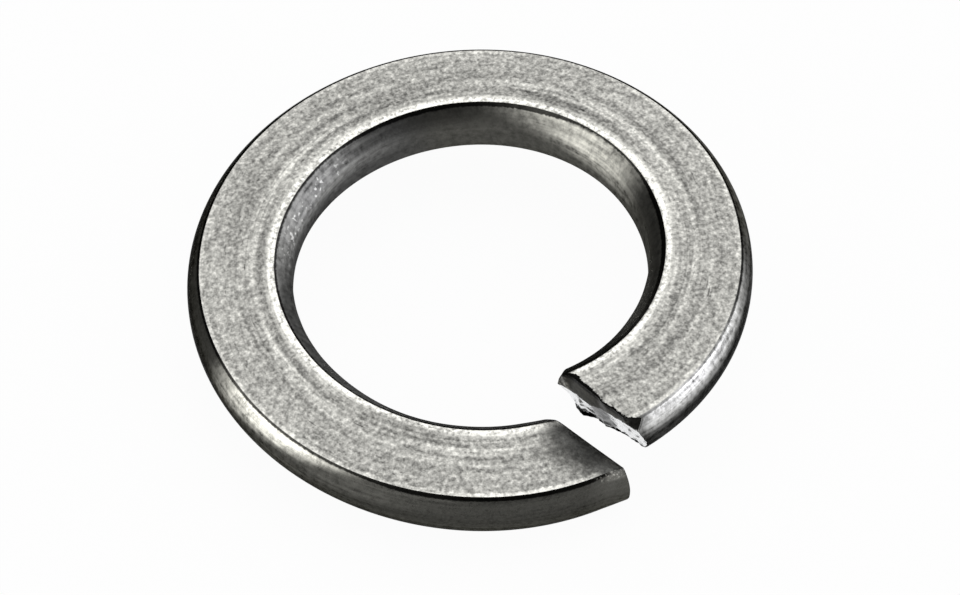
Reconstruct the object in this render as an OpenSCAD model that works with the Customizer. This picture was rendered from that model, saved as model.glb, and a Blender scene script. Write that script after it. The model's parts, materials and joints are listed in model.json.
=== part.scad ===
// Spring lock washer, light series, for an M8 screw.
// One turn of flattened round wire, coiled left-handed round a mandrel and cut off with a shear.
// The origin is on the bore axis, level with the lowest point, and the cut faces the -Y side.

/* [Screw] */
// Diameter of the bore, measured on the flat that the mandrel leaves on the inner flank
bore_d = 8.5; // [8:0.1:10.2]

/* [Wire] */
// Width of the wire from flank to flank
wire_w = 2.5; // [2:0.1:3]
// Thickness of the wire at its inner edge, which the coiling has upset
inner_t = 1.6; // [1.4:0.02:1.92]
// Thickness of the wire at its outer edge, which the coiling has stretched
outer_t = 1.3; // [1.1:0.02:1.5]
// How far the rounded inner flank stands in from the inner edge of the flat faces
inner_bulge = 0.4; // [0.3:0.02:0.5]
// How far the rounded outer flank stands out from the outer edge of the flat faces
outer_bulge = 0.28; // [0.15:0.01:0.35]
// Fullness of the flanks, where 2 is a parabola and more is squarer
flank_power = 2.3; // [2:0.1:3]
// Depth that the mandrel flattens off the crown of the inner flank
mandrel_flat = 0.06; // [0.05:0.01:0.08]

/* [Coil] */
// Rise of the coil over its one turn when nothing loads it
coil_rise = 1.65; // [1:0.05:2.2]
// How far the coil is out of round, in three shallow lobes
coil_lobe = 0.03; // [0:0.01:0.04]
// Gap between the two cut faces along the wire's centre line once the washer is pressed flat
end_gap = 0.45; // [0.35:0.01:0.8]

/* [Cut ends] */
// Angle of the high end's cut away from a radial line, seen from above
high_skew = 16; // [10:0.2:22]
// Lean of the high end's cut away from upright, with its foot drawn back from the gap
high_slant = 12.5; // [5:0.5:18]
// Angle of the low end's cut away from a radial line, seen from above
low_skew = 19.8; // [14:0.2:22]
// Lean of the low end's cut away from upright, with its foot drawn back from the gap
low_slant = 6.5; // [0:0.5:8]
// Height of the smooth upright band that the shear blade leaves at the top of the high end
shear_band = 0.4; // [0.2:0.05:0.7]
// Length of the low end's top face that the blade has rolled over
roll_length = 0.7; // [0.4:0.1:1.2]
// Drop of that rolled edge at the cut
roll_drop = 0.1; // [0.04:0.02:0.16]

/* [Fineness] */
// Number of steps round the coil
coil_steps = 116; // [72:2:140]
// Number of steps down each rounded flank
flank_steps = 10; // [8:2:12]

/* [Hidden] */
bore_r = bore_d / 2;
outer_r = bore_r + wire_w;
mean_r = (bore_r + outer_r) / 2;
// Each foot is drawn back from the gap, so the two cuts lean opposite ways across it
high_lean = tan(high_slant);
low_lean = -tan(low_slant);
lobes = 3;
// The upright band stands this far out of the high end's leaning cut
band_out = shear_band * high_lean;
// The sweep runs this far past each cut, and a blade takes it off
spare = end_gap / 9;
// The blade is thicker than what it takes off, and reaches past the wire above, below and to the sides
blade_w = spare * 2;
blade_reach = inner_t * 0.8;
blade_l = wire_w * 1.6;
// The drill that sizes the bore passes right through
drill_l = 4 * (coil_rise + inner_t);
// Steps spent on the rolled edge, and its share of the turn
roll_steps = 6;
roll_share = roll_length / (2 * PI * mean_r);

// Angle in degrees that an arc of this length takes at radius r
function arc_angle(arc, r) = arc / r * 180 / PI;

// Turn, in degrees clockwise from the -Y side, at which a cut crosses radius r at height z in the wire
function cut_turn(r, z, skew, lean, face) = asin((mean_r * sin(skew) - face + z * lean) / r) - skew;
function low_cut_turn(r, z) = cut_turn(r, z, low_skew, low_lean, -end_gap / 2);
function high_cut_turn(r, z) = 360 + cut_turn(r, z, high_skew, high_lean, end_gap / 2);

// Height of the wire's middle over the lowest point, which is the low end's inner bottom corner
low_turn = low_cut_turn(bore_r + inner_bulge, -inner_t / 2);
mid_z = inner_t / 2 + coil_rise * (0.5 - low_turn / 360);

// Points of the section, each as [radius, height in the wire, share of the half height]
shares = [for (i = [0:flank_steps]) 1 - 2 * i / flank_steps];
crown_r = bore_r - mandrel_flat;
inner_flank = [
    for (s = shares)
        [crown_r + (inner_bulge + mandrel_flat) * pow(abs(s), flank_power), s * inner_t / 2, s]
];
outer_flank = [
    for (s = shares)
        [outer_r - outer_bulge * pow(abs(s), flank_power), -s * outer_t / 2, -s]
];
section = concat(inner_flank, outer_flank);

// Shares of the turn at which the section stands, closer together along the rolled edge
stations = concat(
    [for (i = [0:roll_steps - 1]) roll_share * i / roll_steps],
    [for (i = [0:coil_steps]) roll_share + (1 - roll_share) * i / coil_steps]
);

// Where section point p lies once it has been swept that share of the turn
function coil_point(p, share) =
    let (
        r = p[0],
        low = low_cut_turn(r, p[1]),
        first = low - arc_angle(spare, r),
        last = high_cut_turn(r, p[1]) + arc_angle(spare + band_out, r),
        turn = first + share * (last - first),
        along = max(0, turn - low) * PI / 180 * r,
        rolled = max(0, 1 - along / roll_length),
        out = r + coil_lobe * cos(lobes * turn),
        z = p[1] - roll_drop * rolled * rolled * max(0, p[2])
    )
    [-out * sin(turn), -out * cos(turn), mid_z + z + coil_rise * (turn / 360 - 0.5)];

module coil() {
    n = len(section);
    last = len(stations) - 1;
    points = [for (share = stations) for (p = section) coil_point(p, share)];
    skin = [
        for (k = [0:last - 1])
            for (j = [0:n - 1])
                let (a = k * n + j, b = k * n + (j + 1) % n, c = b + n, d = a + n)
                each [[a, b, c], [a, c, d]]
    ];
    low_cap = [for (j = [1:n - 2]) [0, j + 1, j]];
    high_cap = [for (j = [1:n - 2]) [last * n, last * n + j, last * n + j + 1]];
    polyhedron(points, concat(skin, low_cap, high_cap), convexity = 6);
}

// A cutter through the wire at one end of the coil, 0 low or 1 high, with this profile across the cut
module blade(end, skew, profile) {
    translate([0, -mean_r, mid_z + coil_rise * (end - 0.5)])
        rotate([0, 0, skew])
            rotate([90, 0, 0])
                linear_extrude(height = blade_l, center = true)
                    polygon(profile);
}

// The low end's cut is one leaning plane
module low_cut() {
    face = -end_gap / 2;
    shift = blade_reach * low_lean;
    blade(0, low_skew, [
        [face + shift, -blade_reach],
        [face + shift + blade_w, -blade_reach],
        [face - shift + blade_w, blade_reach],
        [face - shift, blade_reach]
    ]);
}

// The high end's cut is an upright band over a torn face that leans back to the same foot
module high_cut() {
    face = end_gap / 2;
    back = face - band_out - blade_w;
    shift = blade_reach * high_lean;
    half_t = inner_t / 2;
    band_x = face - half_t * high_lean;
    foot_x = face + half_t * high_lean;
    torn_lean = (foot_x - band_x) / (inner_t - shear_band);
    blade(1, high_skew, [
        [band_x, blade_reach],
        [band_x, half_t - shear_band],
        [foot_x + (blade_reach - half_t) * torn_lean, -blade_reach],
        [back + shift, -blade_reach],
        [back - shift, blade_reach]
    ]);
}

module bore() {
    cylinder(h = drill_l, r = bore_r, center = true, $fn = 180);
}

module spring_lock_washer() {
    color([0.67, 0.66, 0.63])
        difference() {
            coil();
            low_cut();
            high_cut();
            bore();
        }
}

spring_lock_washer();
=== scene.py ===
import json
import math

import bmesh
import bpy
from mathutils import Matrix, Vector, noise


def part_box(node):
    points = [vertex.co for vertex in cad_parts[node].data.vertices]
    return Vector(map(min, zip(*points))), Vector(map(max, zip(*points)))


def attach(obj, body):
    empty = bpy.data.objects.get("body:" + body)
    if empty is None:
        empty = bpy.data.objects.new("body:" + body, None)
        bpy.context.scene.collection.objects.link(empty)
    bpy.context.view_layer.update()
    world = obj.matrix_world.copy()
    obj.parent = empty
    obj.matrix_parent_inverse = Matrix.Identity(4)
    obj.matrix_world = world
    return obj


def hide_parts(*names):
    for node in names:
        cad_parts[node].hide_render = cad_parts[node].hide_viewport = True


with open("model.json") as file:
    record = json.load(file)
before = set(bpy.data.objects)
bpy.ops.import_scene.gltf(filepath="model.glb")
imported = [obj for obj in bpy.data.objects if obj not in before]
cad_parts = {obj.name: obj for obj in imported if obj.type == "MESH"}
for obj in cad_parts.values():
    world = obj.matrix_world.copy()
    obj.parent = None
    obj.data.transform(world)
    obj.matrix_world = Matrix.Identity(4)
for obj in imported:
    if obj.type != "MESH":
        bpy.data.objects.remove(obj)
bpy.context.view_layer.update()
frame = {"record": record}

# ---------------------------------------------------------------------------------------------
# The washer: one left-hand turn of flattened round spring wire. The wire is drawn, rolled flat
# on two sides, coiled on edge round a mandrel, which upsets its inner edge and thins its outer
# one, and cut off with a shear at each turn. It is hardened steel, tumbled until it is clean.
# ---------------------------------------------------------------------------------------------
bore = next(m for m in frame["record"]["mounts"] if m["name"] == "bore")
low_corner, high_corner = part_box("spring_lock_washer")

# Sizes of the wire and the coil, in millimetres
inside_box = 0.002
bore_r = bore["dims"]["r_mm"]
outer_r = (high_corner.x - low_corner.x) / 2 * 1000 - inside_box
wire_w = outer_r - bore_r
mean_r = (bore_r + outer_r) / 2
inner_t = 1.6
outer_t = 1.3
inner_bulge = 0.4
outer_bulge = 0.28
flank_power = 2.3
mandrel_flat = 0.06
coil_rise = 1.65
coil_lobe = 0.03
end_gap = 0.45
high_skew, low_skew = math.radians(16), math.radians(19.8)
high_lean, low_lean = math.tan(math.radians(12.5)), -math.tan(math.radians(6.5))
roll_length = 0.7
roll_drop = 0.1
crown_r = bore_r - mandrel_flat
inner_edge_r = bore_r + inner_bulge
outer_edge_r = outer_r - outer_bulge


def cut_turn(r, across, skew):
    """Turn from the -Y side at which a cut, this far across the gap, meets radius r."""
    return math.asin((mean_r * math.sin(skew) - across) / r) - skew


half_gap, half_t = end_gap / 2, inner_t / 2
low_turn = cut_turn(inner_edge_r, -half_gap + half_t * low_lean, low_skew)
mid_z = inner_t / 2 + coil_rise * (0.5 - low_turn / math.tau)

# The section's outline: two flat faces, two rounded flanks and four soft creases. Wear has
# lowered the flat faces a little towards the inner crease
inner_round, outer_round = 0.05, 0.035
lip_w, lip_drop = 0.2, 0.016
across_steps, flank_steps, round_steps = 64, 40, 4


def face_point(share):
    """A point on the upper flat face, from its inner edge at 0 to its outer edge at 1."""
    r = inner_edge_r + share * (outer_edge_r - inner_edge_r)
    z = (inner_t + share * (outer_t - inner_t)) / 2
    worn = max(0, 1 - (r - inner_edge_r) / lip_w)
    return Vector((r, z - lip_drop * worn * worn))


def inner_point(s):
    """A point on the inner flank, from -1 at the lower crease to 1 at the upper one."""
    return Vector((crown_r + (inner_bulge + mandrel_flat) * abs(s) ** flank_power, s * inner_t / 2))


def outer_point(s):
    """A point on the outer flank, from -1 at the lower crease to 1 at the upper one."""
    return Vector((outer_r - outer_bulge * abs(s) ** flank_power, s * outer_t / 2))


def rounded(corner, before, after):
    """The soft crease between two points either side of a sharp corner."""
    steps = 2 * round_steps
    shares = [i / steps for i in range(steps + 1)]
    return [(1 - t) ** 2 * before + 2 * t * (1 - t) * corner + t * t * after for t in shares]


def spread(point, first, last, steps):
    """Points spread evenly along one side of the outline, without its two ends."""
    return [point(first + (last - first) * i / steps) for i in range(1, steps)]


# Where each side stops and its soft creases start, as shares of the face and of the flanks
face_w = outer_edge_r - inner_edge_r
in_face, out_face = inner_round / face_w, 1 - outer_round / face_w
in_flank, out_flank = 1 - 1.2 * inner_round, 1 - 1.5 * outer_round
crease_steps = 2 * round_steps
inner_arc = rounded(face_point(0), inner_point(in_flank), face_point(in_face))
outer_arc = rounded(face_point(1), face_point(out_face), outer_point(out_flank))
top_row = (inner_arc[round_steps:]
           + spread(face_point, in_face, out_face, across_steps - crease_steps)
           + outer_arc[:round_steps + 1])
in_col = ([Vector((p.x, -p.y)) for p in inner_arc[round_steps::-1]]
          + spread(inner_point, -in_flank, in_flank, flank_steps - crease_steps)
          + inner_arc[:round_steps + 1])
out_col = ([Vector((p.x, -p.y)) for p in outer_arc[round_steps:]]
           + spread(outer_point, -out_flank, out_flank, flank_steps - crease_steps)
           + outer_arc[:round_steps - 1:-1])


def section_point(i, j):
    """A point of the section's grid, spread evenly between the four sides of the outline."""
    u, v = i / across_steps, j / flank_steps
    top, low = top_row[i], Vector((top_row[i].x, -top_row[i].y))
    corners = ((1 - u) * ((1 - v) * in_col[0] + v * in_col[-1])
               + u * ((1 - v) * out_col[0] + v * out_col[-1]))
    return (1 - v) * low + v * top + (1 - u) * in_col[j] + u * out_col[j] - corners


# The section stands on the -Y side and is spun down the coil's one turn. Each vertex keeps its
# radius and height in the wire, and how far it has climbed tells its share of the turn
coarse_steps, fine_cuts = 60, 5
wire = bmesh.new()
bmesh.ops.create_grid(wire, x_segments=across_steps, y_segments=flank_steps, size=1)
radius = wire.verts.layers.float.new("radius")
height = wire.verts.layers.float.new("height")
share = wire.verts.layers.float.new("share")
for v in wire.verts:
    i = round((v.co.x + 1) / 2 * across_steps)
    j = round((v.co.y + 1) / 2 * flank_steps)
    p = section_point(i, j)
    v[radius], v[height] = p
    v.co = (0, -p.x, p.y)
bmesh.ops.spin(wire, geom=wire.verts[:] + wire.edges[:] + wire.faces[:], axis=(0, 0, 1),
               cent=(0, 0, 0), dvec=(0, 0, coil_rise / coarse_steps), angle=-math.tau,
               steps=coarse_steps, use_merge=False, use_normal_flip=False, use_duplicate=False)
for v in wire.verts:
    v[share] = (v.co.z - v[height]) / coil_rise
along = [e for e in wire.edges
         if abs(e.verts[0][share] - e.verts[1][share]) > 0.5 / coarse_steps]
bmesh.ops.subdivide_edges(wire, edges=along, cuts=fine_cuts, use_grid_fill=True)

# Both cuts are skewed from a radial line, and each leans back to its foot. The high end's is a
# smooth band above a torn face with a ragged foot, and its outer corner is broken off
band_across = half_gap - half_t * high_lean
foot_across = half_gap + half_t * high_lean
tear_depth, tear_size, grit_size = 0.035, 0.16, 0.05
grit_depth = 0.15 * tear_depth

# The edges of both cuts are rounded, and the vertices stand closer together towards them
cut_round = 0.03
closer_ends = 0.8


def swell(x, middle, half_width):
    """1 at the middle, falling smoothly to 0 this far from it."""
    away = min(1, abs(x - middle) / half_width)
    return (1 - away * away) ** 2


def over(x, start, end):
    """0 until start, rising evenly to 1 at end."""
    return min(1, max(0, (x - start) / (end - start)))


def lumps(x, y, size, seed):
    """Smooth noise from about -1 to 1, with lumps of about this size."""
    return noise.noise(Vector((x / size, y / size, seed)))


def band_foot(outward):
    """Height at which the smooth band ends and the torn face starts."""
    return (0.23 + 0.16 * outward + 0.06 * over(-outward, 0.75, 1.1)
            - 0.1 * swell(outward, -0.3, 0.45) + 0.03 * lumps(outward, 0, 0.12, 3))


def high_cut(outward, z, top):
    """How far across the gap the high end's cut stands, where the wire's top is this high."""
    # The band's uneven top edge and the torn face's ragged foot, with both corners broken
    edge = (-0.015 - 0.1 * over(-outward, 0.72, 0.95) + 0.24 * over(-outward, 0.96, 1.25)
            - 0.05 * swell(outward, 0.28, 0.22) + 0.34 * over(outward, 0.84, 1.08) ** 2)
    foot = (foot_across - 0.19 * swell(outward, -0.62, 0.5) - 0.09 * swell(outward, 0.02, 0.4)
            + 0.12 * over(-outward, 1.0, 1.25) + 0.03 * lumps(outward, 0, 0.1, 7))
    split = band_foot(outward)
    if z > split:
        return band_across + (edge - band_across) * (z - split) / (top - split)
    depth = (split - z) / (split + top)
    relief = (tear_depth * lumps(outward, z, tear_size, 5)
              + grit_depth * lumps(outward, z, grit_size, 9))
    return band_across + depth * (foot - band_across) + min(1, 4 * depth) * relief


def outward_at(r, across, skew):
    """How far out from the middle of the wire a cut is when it meets radius r."""
    return math.sqrt(r * r - (mean_r * math.sin(skew) - across) ** 2) - mean_r * math.cos(skew)


# The crown of the inner flank stands clear of the bore a little at the front left, and the high
# end's inner corner is blunted. The shear has pressed the outer flank down by the low end's cut
front_clear, front_at, front_reach = 0.025, 52, 24
corner_clear, corner_reach = 0.13, 0.2
slump_drop, slump_reach = 0.26, 0.6
from_low = wire.verts.layers.float.new("from_low")
from_high = wire.verts.layers.float.new("from_high")
turning = wire.verts.layers.float.new("turning")


def coil(v):
    """Puts a vertex where the coiling and the cut leave it."""
    r, z, part = v[radius], v[height], v[share]
    top = (inner_t + (outer_t - inner_t) * over(r, inner_edge_r, outer_edge_r)) / 2
    low = cut_turn(r, -half_gap - z * low_lean, low_skew)
    across = high_cut(outward_at(r, half_gap, high_skew), z, top)
    high = math.tau + cut_turn(r, across, high_skew)
    part -= closer_ends * math.sin(math.tau * part) / math.tau
    turn = low + part * (high - low)
    v[from_low], v[from_high], v[turning] = (turn - low) * r, (high - turn) * r, turn * mean_r
    to_low, to_high = v[from_low], v[from_high]

    nearest = max(0, min(to_low, to_high, cut_round))
    soft = cut_round - math.sqrt(cut_round ** 2 - (cut_round - nearest) ** 2)
    out = mean_r + (r - mean_r) * (1 - soft / (wire_w / 2)) + coil_lobe * math.cos(3 * turn)
    if r < inner_edge_r:
        clear = (front_clear * swell(math.degrees(turn), front_at, front_reach)
                 + corner_clear * over(-to_high, -corner_reach, 0))
        out = max(bore_r, out) + clear * (inner_edge_r - r) / inner_bulge

    rolled = max(0, 1 - to_low / roll_length)
    lift = z * (1 - soft / half_t) - roll_drop * rolled * rolled * max(0, z / top)
    level = z / (outer_t / 2)
    slump = slump_drop * max(0, 1 - to_low / slump_reach)
    lift -= slump * max(0, 1 - level * level) * (1 + min(0, level)) * over(r, mean_r, outer_edge_r)
    climb = coil_rise * (turn / math.tau - 0.5)
    v.co = (-out * math.sin(turn), -out * math.cos(turn), mid_z + climb + lift)


for v in wire.verts:
    coil(v)

# Which finish each face has: rolled flats, drawn flanks, or one of the two kinds of cut
rolled_from, rolled_to = top_row[0].x, outer_edge_r - outer_round
at_cut = 0.0001
ROLLED, DRAWN, SHEARED, TORN = range(4)
for f in wire.faces:
    parts = [v[share] for v in f.verts]
    r = sum(v[radius] for v in f.verts) / len(f.verts)
    z = sum(v[height] for v in f.verts) / len(f.verts)
    if max(parts) < at_cut:
        f.material_index = SHEARED if z > 0.2 * lumps(r, 0, 0.5, 11) else TORN
    elif min(parts) > 1 - at_cut:
        outward = outward_at(r, band_across, high_skew)
        f.material_index = SHEARED if z > band_foot(outward) else TORN
    else:
        f.material_index = ROLLED if rolled_from < r < rolled_to else DRAWN
    f.smooth = True

# The mesh keeps where each point lies along, across and up the wire, for the marks of rolling,
# and how far it is from the two cuts
washer_mesh = bpy.data.meshes.new("spring_lock_washer_wire")
places_in_wire = [(v[turning], v[radius], v[height]) for v in wire.verts]
places_from_cuts = [(v[from_low], v[from_high], 0) for v in wire.verts]
bmesh.ops.scale(wire, vec=(0.001, 0.001, 0.001), verts=wire.verts)
if wire.calc_volume(signed=True) < 0:
    bmesh.ops.reverse_faces(wire, faces=wire.faces)
wire.to_mesh(washer_mesh)
wire.free()
for name, places in (("in_wire", places_in_wire), ("from_cuts", places_from_cuts)):
    kept = washer_mesh.attributes.new(name, "FLOAT_VECTOR", "POINT")
    kept.data.foreach_set("vector", [c for p in places for c in p])
washer = bpy.data.objects.new("spring_lock_washer_wire", washer_mesh)
bpy.context.scene.collection.objects.link(washer)


def add(tree, kind, inputs=(), **settings):
    """Adds a node, with its inputs set to values or joined to other nodes' outputs."""
    new = tree.nodes.new(kind)
    for name, value in settings.items():
        setattr(new, name, value)
    for name, value in dict(inputs).items():
        if isinstance(value, bpy.types.NodeSocket):
            tree.links.new(value, new.inputs[name])
        else:
            new.inputs[name].default_value = value
    return new


def maths(tree, operation, *values):
    """Adds a maths node for this operation on these values, and gives its result."""
    return add(tree, "ShaderNodeMath", enumerate(values), operation=operation).outputs[0]


def total_of(tree, *parts):
    """Adds up values, each given alone or with the amount to multiply it by."""
    total = 0.0
    for part in parts:
        value = maths(tree, "MULTIPLY", *part) if isinstance(part, tuple) else part
        total = maths(tree, "ADD", total, value)
    return total


def product_of(tree, *parts):
    """Multiplies values together."""
    total = parts[0]
    for part in parts[1:]:
        total = maths(tree, "MULTIPLY", total, part)
    return total


def without(tree, mask, *amount):
    """What is left of 1 when a mask, or this amount of it, is taken off."""
    return maths(tree, "SUBTRACT", 1.0, product_of(tree, mask, *amount))


def fade(tree, value, start, end, low=0.0, high=1.0):
    """Goes smoothly from low to high as value goes from start to end."""
    new = add(tree, "ShaderNodeMapRange", {0: value, 1: start, 2: end, 3: low, 4: high},
              interpolation_type="SMOOTHSTEP")
    return new.outputs[0]


def between(tree, value, start, full, fading, end):
    """1 from full to fading, and 0 before start and past end."""
    return maths(tree, "MULTIPLY", fade(tree, value, start, full), fade(tree, value, end, fading))


def grain(tree, place, size, detail=2.0, stretch=(1, 1, 1), seed=0.0):
    """Noise about 0 whose blotches are about this size, in the units of the place it reads."""
    mapped = add(tree, "ShaderNodeMapping", {"Vector": place, "Location": (seed, seed, seed),
                                             "Scale": [c / size for c in stretch]})
    noisy = add(tree, "ShaderNodeTexNoise", {"Vector": mapped.outputs[0], "Scale": 1.0,
                                             "Detail": detail, "Roughness": 0.6})
    return maths(tree, "SUBTRACT", noisy.outputs["Fac"], 0.5)


def new_finish(name):
    """Starts a bare steel finish, and gives what its marks are placed by: the object's own
    place in metres, and in millimetres the place in the wire and how far off the cuts are."""
    material = bpy.data.materials.new(name)
    material.use_nodes = True
    tree = material.node_tree
    steel = tree.nodes["Principled BSDF"]
    steel.inputs["Metallic"].default_value = 1
    place = add(tree, "ShaderNodeTexCoord").outputs["Object"]
    wire_place = add(tree, "ShaderNodeAttribute", attribute_name="in_wire").outputs["Vector"]
    cuts = add(tree, "ShaderNodeAttribute", attribute_name="from_cuts").outputs["Vector"]
    washer_mesh.materials.append(material)
    return (tree, steel, place, wire_place,
            add(tree, "ShaderNodeSeparateXYZ", {0: wire_place}).outputs,
            add(tree, "ShaderNodeSeparateXYZ", {0: cuts}).outputs)


# Every finish keeps within these limits of lightness and roughness
darkest, lightest, smoothest = 0.004, 0.97, 0.08


def coat(tree, steel, light, tint, rough, relief, depth):
    """Joins a finish's lightness, roughness and relief to its shader."""
    light = maths(tree, "MINIMUM", maths(tree, "MAXIMUM", light, darkest), lightest)
    colour = add(tree, "ShaderNodeMix", {0: light, 6: (0.0, 0.0, 0.0, 1), 7: tint},
                 data_type="RGBA")
    tree.links.new(colour.outputs[2], steel.inputs["Base Color"])
    tree.links.new(maths(tree, "MAXIMUM", rough, smoothest), steel.inputs["Roughness"])
    bump = add(tree, "ShaderNodeBump", {"Height": relief, "Distance": depth, "Strength": 1.0})
    tree.links.new(bump.outputs[0], steel.inputs["Normal"])


# Rolled and tumbled flat faces: light grey with a sandy grain, ringed and streaked along the
# wire, rubbed bright along both creases, with a painted highlight on the outer one, and a few dark
# scratches
tree, steel, place, wire_place, (along_wire, r, _), (to_low, to_high, _) = new_finish("rolled_face")
face_light, face_contrast, face_tint = 0.663, 2.2, (1.0, 0.99, 0.93, 1)
fine = grain(tree, place, 0.00009, 3)
mid = grain(tree, place, 0.00023, 2, seed=4)
streaks = grain(tree, wire_place, 0.22, 2, (0.07, 1, 0.1), seed=2)
rings = grain(tree, wire_place, 0.1, 2, (0.012, 1, 0.1), seed=41)
pits = fade(tree, grain(tree, wire_place, 0.1, 2, (0.45, 1, 0.1), seed=31), 0.13, 0.22)
sand = total_of(tree, (fine, 2.2), (mid, 0.9), (pits, -0.3))

# The bright lips: the inner one is rubbed bright. The outer one is rubbed bright too, and carries a
# painted highlight that is strongest at the front, fainter further round and faintest towards the
# high end, and it stops short of the low end's cut
inner_lip = fade(tree, total_of(tree, r, (fine, 0.25), (mid, 0.12)),
                 inner_edge_r + 0.27, inner_edge_r + 0.08)
outer_lip_and_highlight = fade(tree, total_of(tree, r, (fine, 0.06), (mid, 0.05)),
                 outer_edge_r - 0.16, outer_edge_r - 0.1)
outer_lip_and_highlight = product_of(tree, outer_lip_and_highlight, fade(tree, to_low, 0.45, 0.7),
                       fade(tree, along_wire, 0.75 * mean_r, 0.45 * mean_r, 0.5, 1.0),
                       fade(tree, along_wire, 5.0 * mean_r, 5.6 * mean_r, 1.0, 0.6))
scratches = grain(tree, wire_place, 0.14, 2, (0.16, 1, 0.1), seed=11)
scratched = maths(tree, "MULTIPLY", fade(tree, scratches, 0.19, 0.26),
                  between(tree, r, inner_edge_r + 0.45, inner_edge_r + 0.7,
                          outer_edge_r - 0.65, outer_edge_r - 0.4))

# The shear has pressed the low end smooth, and painted shade darkens it where it bends down,
# reaching furthest in the middle of the wire. Each cut's edge carries a black line of painted
# shade, and the high end's has a nick in it
pressed_reach = total_of(tree, 1.6, (fade(tree, r, mean_r, inner_edge_r), -0.95),
                         (fade(tree, r, mean_r, outer_edge_r), -0.5))
pressed_and_shaded = fade(tree, total_of(tree, maths(tree, "DIVIDE", to_low, pressed_reach),
                              (fine, 0.12), (mid, 0.15)), 1.0, 0.25)
nick = between(tree, r, mean_r - 0.8, mean_r - 0.7, mean_r - 0.66, mean_r - 0.5)
# Painted shade: a black line along the edge of each cut
low_edge_shade = fade(tree, total_of(tree, to_low, (fine, 0.08)), 0.07, 0.03)
high_edge_shade = fade(tree, total_of(tree, to_high, (mid, 0.2), (fine, 0.15), (nick, -0.07)),
                 0.07, 0.045)

# Lighter and darker bands that run the whole way round, at these distances from the inner edge
roll_marks = 0.0
for from_edge, half_w, lighter in ((0.68, 0.08, 0.08), (0.44, 0.1, -0.04), (0.88, 0.13, -0.045)):
    mark_r = inner_edge_r + from_edge
    mark = between(tree, r, mark_r - half_w, mark_r, mark_r, mark_r + half_w)
    roll_marks = total_of(tree, roll_marks, (mark, lighter))

# The rings and streaks are strongest towards the inner edge, and nearly pressed away at the low
# end. Painted shade makes the face a little darker towards the high end
marked = product_of(tree, fade(tree, r, inner_edge_r + 1.2, inner_edge_r + 0.5, 0.4, 1.0),
                    without(tree, pressed_and_shaded, 0.8))
light = total_of(tree, face_light, (sand, total_of(tree, 0.42, (pressed_and_shaded, -0.2), (inner_lip, 0.25))),
                 (product_of(tree, rings, marked), 0.45),
                 (product_of(tree, streaks, marked), 0.65),
                 (inner_lip, 0.2), (outer_lip_and_highlight, 0.24), (scratched, -0.2), roll_marks,
                 (fade(tree, along_wire, 4.7 * mean_r, 5.4 * mean_r), -0.025))
light = maths(tree, "POWER", maths(tree, "MAXIMUM", light, 0.0), face_contrast)
# Painted shade darkens the pressed low end and both cut edges
light = product_of(tree, light, without(tree, pressed_and_shaded, 0.72),
                   without(tree, maths(tree, "MAXIMUM", low_edge_shade, high_edge_shade)))
rough = total_of(tree, 0.45, (sand, 0.06), (inner_lip, -0.12), (pressed_and_shaded, -0.1))
relief = total_of(tree, (sand, 1.0), (scratched, -1.0))
coat(tree, steel, light, face_tint, rough, relief, depth=0.000004)

# Drawn flanks: dark and glossy, scuffed, with fine lines along the wire from the die, and black
# with painted shade along the crease. Here and there painted highlights lighten them, set as rubbed
# patches
tree, steel, place, wire_place, (along_wire, r, z), (to_low, to_high, _) = new_finish("drawn_flank")
bare_tint, cool_light_tint = (1.0, 0.985, 0.89, 1), (0.98, 0.98, 0.955, 1)
steel.inputs["Anisotropic"].default_value = 0.8
steel.inputs["Anisotropic Rotation"].default_value = 0.25
steel.inputs["Specular Tint"].default_value = (0.25, 0.25, 0.25, 1)
round_axis = add(tree, "ShaderNodeTangent", direction_type="RADIAL", axis="Z")
tree.links.new(round_axis.outputs[0], steel.inputs["Tangent"])
lines = grain(tree, wire_place, 0.12, 2, (0.04, 0.5, 1), seed=1)
scuffs = grain(tree, place, 0.00016, 3, seed=3)
fine = grain(tree, place, 0.00006, 2, seed=13)

# A place on a flank: which one, how many degrees round the coil, and how high, from -1 at its
# lower crease to 1 at its upper one
inside = fade(tree, r, mean_r + 0.1, mean_r - 0.1)
outside = without(tree, inside)
turned = maths(tree, "MULTIPLY", along_wire, 180 / math.pi / mean_r)
half_here = total_of(tree, half_t, (fade(tree, r, mean_r - 0.1, mean_r + 0.1),
                                    (outer_t - inner_t) / 2))
near_crease = maths(tree, "DIVIDE", maths(tree, "ABSOLUTE", z), half_here)
level = maths(tree, "MULTIPLY", near_crease, maths(tree, "SIGN", z))

# Both flanks are dark. Painted reflected light makes the inner one less so, and the outer one
# a little less in its lower half
light = total_of(tree, 0.054, (inside, 0.044), (lines, 0.04), (fine, 0.05),
                 (product_of(tree, outside, fade(tree, level, 0.15, -0.25)), 0.03),
                 (scuffs, maths(tree, "MULTIPLY_ADD", inside, 0.12, 0.05)))

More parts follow.
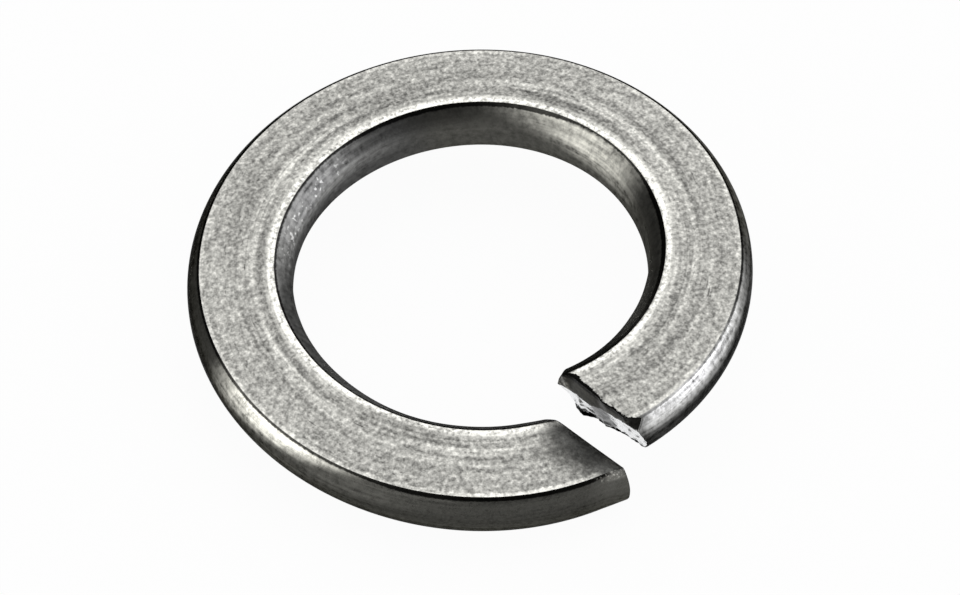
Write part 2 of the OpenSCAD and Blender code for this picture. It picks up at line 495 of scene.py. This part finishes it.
# Painted highlights, set as rubbed patches: the flank, the degrees at which each starts, is full,
# starts to fade and ends, the levels at which it starts and is full, and how light it is. They
# start on a slant
slanted = total_of(tree, turned, (total_of(tree, level, -0.8), 30.0))
painted_highlight = 0.0
for flank, start, full, fading, end, foot, head, lighter in (
        (outside, 57, 75, 86, 99, -0.1, 0.75, 0.62),
        (outside, 50, 66, 84, 98, 0.84, 0.95, 0.12),
        (outside, 26, 50, 76, 92, -0.9, 0.2, 0.035),
        (outside, 250, 270, 308, 322, -0.2, 0.5, 0.08),
        (outside, 304, 326, 350, 366, 0.2, 0.85, 0.5),
        (outside, 318, 330, 344, 352, 0.86, 0.94, 0.35),
        (outside, 326, 346, 362, 372, -0.6, 0.0, 0.08),
        (inside, 106, 132, 164, 196, -0.3, 0.6, 0.22),
        (inside, 214, 244, 264, 284, -0.4, 0.5, 0.46)):
    highlight_patch = product_of(tree, flank, fade(tree, slanted, start, full),
                       fade(tree, turned, end, fading), fade(tree, level, foot, head))
    painted_highlight = total_of(tree, painted_highlight, (highlight_patch, lighter))
painted_highlight = maths(tree, "MULTIPLY", painted_highlight, total_of(tree, 1.0, (scuffs, 2.5), (lines, 3.0)))

# Painted glints fleck the upper part of the inner flank in one stretch
painted_glints = product_of(tree, inside, fade(tree, grain(tree, place, 0.00012, 1, seed=23), 0.1, 0.17),
                    between(tree, turned, 118, 132, 158, 172),
                    between(tree, level, 0.4, 0.55, 0.8, 0.9))
painted_highlight = total_of(tree, painted_highlight, (painted_glints, 0.5))
light = maths(tree, "ADD", light, maths(tree, "MAXIMUM", painted_highlight, 0.0))

# Painted dark reflection on the upper part of the inner flank in a few stretches, and painted
# shade on both flanks towards the high end's cut
dark_reflection_turns = maths(tree, "MAXIMUM", between(tree, turned, 160, 178, 206, 228),
                   maths(tree, "ADD", fade(tree, turned, 262, 280), fade(tree, turned, 64, 48)))
painted_dark_reflection = product_of(tree, inside, dark_reflection_turns,
                  fade(tree, total_of(tree, level, (scuffs, 0.5), (fine, 0.4)), 0.3, 0.85))
painted_shade_by_high_cut = maths(tree, "MAXIMUM", fade(tree, total_of(tree, to_high, (scuffs, 0.15)), 0.4, 0.05),
                    maths(tree, "MULTIPLY", inside, fade(tree, to_high, 2.5, 1.2)))
light = product_of(tree, light, without(tree, painted_dark_reflection, 0.6),
                   without(tree, painted_shade_by_high_cut, maths(tree, "MULTIPLY_ADD", inside, 0.15, 0.5)))

# By the low end's cut the outer flank is a little lighter, and scuffed beside its creases
scuffed_end = product_of(tree, outside, between(tree, to_low, 0.05, 0.12, 0.5, 0.6),
                         fade(tree, near_crease, 0.76, 0.84), total_of(tree, 1.0, (scuffs, 3.0)))
light = total_of(tree, light, (scuffed_end, 0.05),
                 (maths(tree, "MULTIPLY", outside, fade(tree, to_low, 1.3, 0.4)), 0.03))

# Painted shade blackens the crease, widest at the front and where the inner flank mirrors the dark
# room. It is fainter towards both cuts, and rubbed by the low end's
wide_shade_stretches = product_of(tree, inside, maths(tree, "MAXIMUM", fade(tree, turned, 272, 286),
                                           between(tree, turned, 160, 190, 234, 250)))
front = maths(tree, "MULTIPLY", outside, between(tree, turned, 3, 8, 44, 58))
painted_crease_shade = fade(tree, total_of(tree, near_crease, (inside, 0.02), (wide_shade_stretches, 0.045), (front, 0.045),
                             (fine, 0.06), (lines, 0.04)), 0.945, 0.975)
painted_crease_shade = product_of(tree, painted_crease_shade, fade(tree, along_wire, 5.5 * mean_r, 5.8 * mean_r, 0.9, 0.6),
                    fade(tree, total_of(tree, to_low, (scuffs, 0.5)), 0.3, 0.55, 0.3, 1.0))
light = maths(tree, "MULTIPLY", light, without(tree, painted_crease_shade))
rubs = product_of(tree, fade(tree, grain(tree, place, 0.00007, 2, seed=17), 0.03, 0.15), outside,
                  fade(tree, to_low, 0.85, 0.6), fade(tree, near_crease, 0.78, 0.88))
light = total_of(tree, light, (rubs, 0.22))

rough = total_of(tree, 0.3, (inside, 0.16), (lines, 0.06), (scuffs, 0.3), (fine, 0.15))
relief = total_of(tree, (lines, 1.0), (scuffs, 1.0), (fine, 0.35))
# A cooler tint on the flanks lit from the right is painted light, standing in for the cool light
# there
cool_lit_side = maths(tree, "MAXIMUM", maths(tree, "MULTIPLY", outside, fade(tree, turned, 290, 310)),
                    maths(tree, "MULTIPLY", inside, fade(tree, turned, 205, 185)))
tint = add(tree, "ShaderNodeMix", {0: cool_lit_side, 6: bare_tint, 7: cool_light_tint}, data_type="RGBA")
coat(tree, steel, light, tint.outputs[2], rough, relief, depth=0.000011)

# The sheared band: smooth, painted dark as a dark reflection, scored downwards by the blade, with
# painted black shade along its top edge and its outer corner, and chipped at its inner one
tree, steel, place, wire_place, (_, r, z), _ = new_finish("sheared_band")
scores = grain(tree, wire_place, 0.07, 2, (0.5, 1, 0.08), seed=6)
mottle = grain(tree, place, 0.00015, 3, seed=21)
up_band = total_of(tree, z, (fade(tree, r, inner_edge_r, outer_edge_r), (inner_t - outer_t) / 2),
                   (mottle, 0.12))
painted_edge_shade = maths(tree, "MAXIMUM", fade(tree, up_band, half_t - 0.2, half_t - 0.1),
              fade(tree, total_of(tree, r, (mottle, 0.1)), outer_edge_r - 0.2, outer_edge_r - 0.08))
chipped = maths(tree, "MULTIPLY", fade(tree, r, mean_r - 0.84, mean_r - 0.92),
                fade(tree, mottle, -0.02, 0.1))
light = total_of(tree, 0.11, (scores, 0.12), (mottle, 0.24), (chipped, 0.3))
# Painted shade along the band's top edge and outer corner
light = maths(tree, "MULTIPLY", light, without(tree, painted_edge_shade, 0.9))
rough = total_of(tree, 0.42, (mottle, 0.2))
coat(tree, steel, light, (1.0, 0.98, 0.88, 1), rough, scores, depth=0.000008)

# The torn face: bright broken metal, with painted shade along its foot. At the high end it is
# duller in its middle and painted shade blackens one hollow, and at the low end it is dull in
# patches
tree, steel, place, _, (_, r, z), (to_low, _, _) = new_finish("torn_face")
crumbs = grain(tree, place, 0.0001, 3, seed=8)
across_face = maths(tree, "ADD", r, maths(tree, "MULTIPLY", crumbs, 0.35))
up_face = maths(tree, "ADD", z, maths(tree, "MULTIPLY", crumbs, 0.35))
high_end = fade(tree, to_low, 1.0, 2.0)
smear = total_of(tree, (between(tree, across_face, mean_r - 0.38, mean_r - 0.2,
                                mean_r + 0.2, mean_r + 0.38), high_end),
                 (fade(tree, grain(tree, place, 0.0006, 2, seed=27), -0.05, 0.1),
                  without(tree, high_end)))
painted_hollow_shade = product_of(tree, between(tree, across_face, mean_r - 0.95, mean_r - 0.8,
                                  mean_r - 0.35, mean_r - 0.2),
                    fade(tree, up_face, -0.4, -0.55), high_end)
above_foot = total_of(tree, up_face, half_t, (fade(tree, r, inner_edge_r, outer_edge_r),
                                              (outer_t - inner_t) / 2))
painted_foot_shade = fade(tree, above_foot, 0.16, 0.06)
unshaded_share = without(tree, maths(tree, "MAXIMUM", painted_hollow_shade, painted_foot_shade), 0.95)
light = maths(tree, "MULTIPLY", total_of(tree, 0.97, (crumbs, 0.4), (smear, -0.6)), unshaded_share)
# Painted shade also darkens the reflection in the hollow and along the foot
tree.links.new(unshaded_share, steel.inputs["Specular Tint"])
rough = total_of(tree, 0.22, (crumbs, 0.3), (smear, 0.2))
coat(tree, steel, light, (0.98, 0.99, 1.0, 1), rough, crumbs, depth=0.000004)

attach(washer, "root")
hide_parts("spring_lock_washer")

# ---------------------------------------------------------------------------------------------
# The floor: a matt white sheet that the washer lies on. It shows as nearly plain white, with a
# little of the washer's shadow.
# ---------------------------------------------------------------------------------------------
sheet_half, sheet_clear = 3, 0.00001
floor_mesh = bpy.data.meshes.new("floor")
sheet = bmesh.new()
bmesh.ops.create_grid(sheet, x_segments=1, y_segments=1, size=sheet_half)
bmesh.ops.translate(sheet, vec=(0, 0, low_corner.z - sheet_clear), verts=sheet.verts)
sheet.to_mesh(floor_mesh)
sheet.free()
floor = bpy.data.objects.new("floor", floor_mesh)
bpy.context.scene.collection.objects.link(floor)
paper = bpy.data.materials.new("white_sheet")
paper.use_nodes = True
tree = paper.node_tree
matt = tree.nodes["Principled BSDF"]
matt.inputs["Base Color"].default_value = (0.86, 0.86, 0.86, 1)
matt.inputs["Roughness"].default_value = 0.5
matt.inputs["Specular IOR Level"].default_value = 0.3
plain = add(tree, "ShaderNodeEmission", {"Color": (1, 1, 1, 1), "Strength": 1.0})
ray = add(tree, "ShaderNodeLightPath").outputs
mirrored = maths(tree, "MAXIMUM", ray["Is Glossy Ray"], ray["Is Transmission Ray"])
plain_share = total_of(tree, (ray["Is Camera Ray"], 0.95), (mirrored, 0.85))
paper_shade = add(tree, "ShaderNodeMixShader", {0: plain_share, 1: matt.outputs[0],
                                                2: plain.outputs[0]})
tree.links.new(paper_shade.outputs[0], tree.nodes["Material Output"].inputs["Surface"])
floor_mesh.materials.append(paper)

# ---------------------------------------------------------------------------------------------
# The camera: a long lens, looking down at the cut from the front left.
# ---------------------------------------------------------------------------------------------
view_az, view_el, view_roll = math.radians(-32.12), math.radians(51.984), math.radians(0.703)
view_distance, lens = 0.084336, 132.1
aim_right, aim_up = 0.000234, -0.000556
to_camera = Vector((math.sin(view_az) * math.cos(view_el), -math.cos(view_az) * math.cos(view_el),
                    math.sin(view_el)))
level_right = Vector((math.cos(view_az), math.sin(view_az), 0))
level_up = to_camera.cross(level_right)
right = math.cos(view_roll) * level_right + math.sin(view_roll) * level_up
up = to_camera.cross(right)
middle = Vector((0, 0, mid_z / 1000))
camera_at = middle + to_camera * view_distance
aim = middle + aim_right * right + aim_up * up
look = (aim - camera_at).normalized()
look_right = look.cross(up).normalized()
look_up = look_right.cross(look)
camera_data = bpy.data.cameras.new("camera")
camera_data.lens = lens
camera_data.sensor_width = 36
camera_data.clip_start, camera_data.clip_end = 0.001, 20
camera = bpy.data.objects.new("camera", camera_data)
camera.matrix_world = Matrix.Translation(camera_at) @ Matrix(
    (look_right, look_up, -look)).transposed().to_4x4()
bpy.context.scene.collection.objects.link(camera)
bpy.context.scene.camera = camera

# ---------------------------------------------------------------------------------------------
# The light: a plain studio with soft glows behind, overhead, to the left, to the right and low
# in front, and soft dark flags behind the camera and at the back left. None has a hard edge,
# and the light from the right is slightly cool.
# ---------------------------------------------------------------------------------------------
world = bpy.data.worlds.new("studio")
world.use_nodes = True
room = world.node_tree
way = add(room, "ShaderNodeTexCoord").outputs["Generated"]


def glow(bearing, elevation, half_width, brightness, flatten=1.0):
    """A soft round glow at this bearing from the camera's, at half strength half_width away."""
    angle, rise = view_az + math.radians(bearing), math.radians(elevation)
    middle = (math.sin(angle) * math.cos(rise), -math.cos(angle) * math.cos(rise), math.sin(rise))
    off = add(room, "ShaderNodeVectorMath", {0: way, 1: middle}, operation="SUBTRACT").outputs[0]
    off = add(room, "ShaderNodeVectorMath", {0: off, 1: (1, 1, flatten)},
              operation="MULTIPLY").outputs[0]
    far = add(room, "ShaderNodeVectorMath", {0: off, 1: off},
              operation="DOT_PRODUCT").outputs["Value"]
    reach = (2 * math.sin(math.radians(half_width) / 2)) ** 2
    fall = maths(room, "POWER", 0.5, maths(room, "DIVIDE", far, reach))
    return maths(room, "MULTIPLY", fall, brightness)


plain_room = 0.2
overhead = glow(0, 90, 50, 0.5)
behind = glow(180, 46, 40, 1.05)
on_left = total_of(room, glow(-68, 12, 10, 1.6, 0.5), glow(-62, 26, 20, 0.5))
on_right = total_of(room, glow(91, 7, 10, 1.9, 0.55), glow(82, 20, 22, 0.6))
low_front = glow(5, 0, 55, 2.2, 4)
total = total_of(room, plain_room, overhead, behind, on_left, on_right, low_front)
cool = maths(room, "DIVIDE", on_right, total)
for flag in (glow(5, 46, 26, 0.6), glow(-135, 15, 26, 0.6)):
    total = maths(room, "MULTIPLY", total, without(room, flag))
air = add(room, "ShaderNodeMix", {0: cool, 6: (1, 1, 1, 1), 7: (0.93, 0.93, 1.0, 1)},
          data_type="RGBA")
room.links.new(air.outputs[2], room.nodes["Background"].inputs["Color"])
room.links.new(total, room.nodes["Background"].inputs["Strength"])
bpy.context.scene.world = world
bpy.context.scene.view_settings.view_transform = "Standard"
